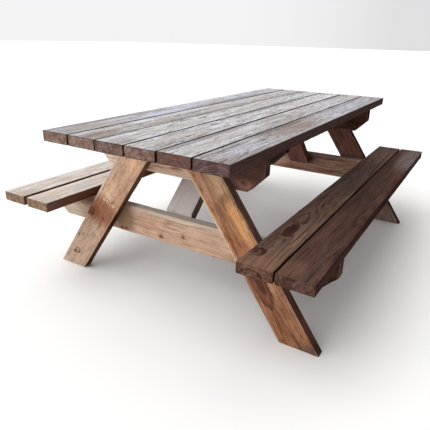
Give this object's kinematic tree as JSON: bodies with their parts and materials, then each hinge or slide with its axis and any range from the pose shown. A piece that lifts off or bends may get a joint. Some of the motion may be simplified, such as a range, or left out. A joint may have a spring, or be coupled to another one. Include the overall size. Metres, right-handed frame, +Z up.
{
  "type": "picnic table",
  "caption": "A-frame timber picnic table with a plank tabletop, a fixed plank bench on each side, splayed legs, cross beams and diagonal braces.",
  "frame": {"origin": "centre of the footprint of the whole table, on the ground", "axes": "+X along the table from the front end to the rear end, +Y to the left bench, +Z up"},
  "size_m": [2.034, 1.482, 0.75],
  "materials": {
    "tabletop_wood": "weathered planed softwood, grey-brown",
    "bench_wood": "stained planed softwood, dark brown on the right bench and pale on the left",
    "frame_wood": "planed softwood, warm tan with knots",
    "brace_wood": "planed softwood, grey-tan",
    "zinc_steel": "zinc-plated steel, dull"
  },
  "bodies": {
    "root": {"top_board_1": "tabletop_wood", "top_board_2": "tabletop_wood", "top_board_3": "tabletop_wood", "top_board_4": "tabletop_wood", "top_board_5": "tabletop_wood", "top_board_6": "tabletop_wood", "bench_left_inner_board": "bench_wood", "bench_left_outer_board": "bench_wood", "bench_right_inner_board": "bench_wood", "bench_right_outer_board": "bench_wood", "leg_front_left": "frame_wood", "leg_front_right": "frame_wood", "top_batten_front": "frame_wood", "seat_beam_front": "frame_wood", "brace_front": "brace_wood", "brace_cleat_front": "brace_wood", "leg_screws_front": "zinc_steel", "leg_washers_front": "zinc_steel", "top_screws_front": "zinc_steel", "cleat_screws_front": "zinc_steel", "bench_screws_front": "zinc_steel", "brace_screws_front": "zinc_steel", "leg_rear_left": "frame_wood", "leg_rear_right": "frame_wood", "top_batten_rear": "frame_wood", "seat_beam_rear": "frame_wood", "brace_rear": "brace_wood", "brace_cleat_rear": "brace_wood", "leg_screws_rear": "zinc_steel", "leg_washers_rear": "zinc_steel", "top_screws_rear": "zinc_steel", "cleat_screws_rear": "zinc_steel", "bench_screws_rear": "zinc_steel", "brace_screws_rear": "zinc_steel"}
  },
  "joints": []
}
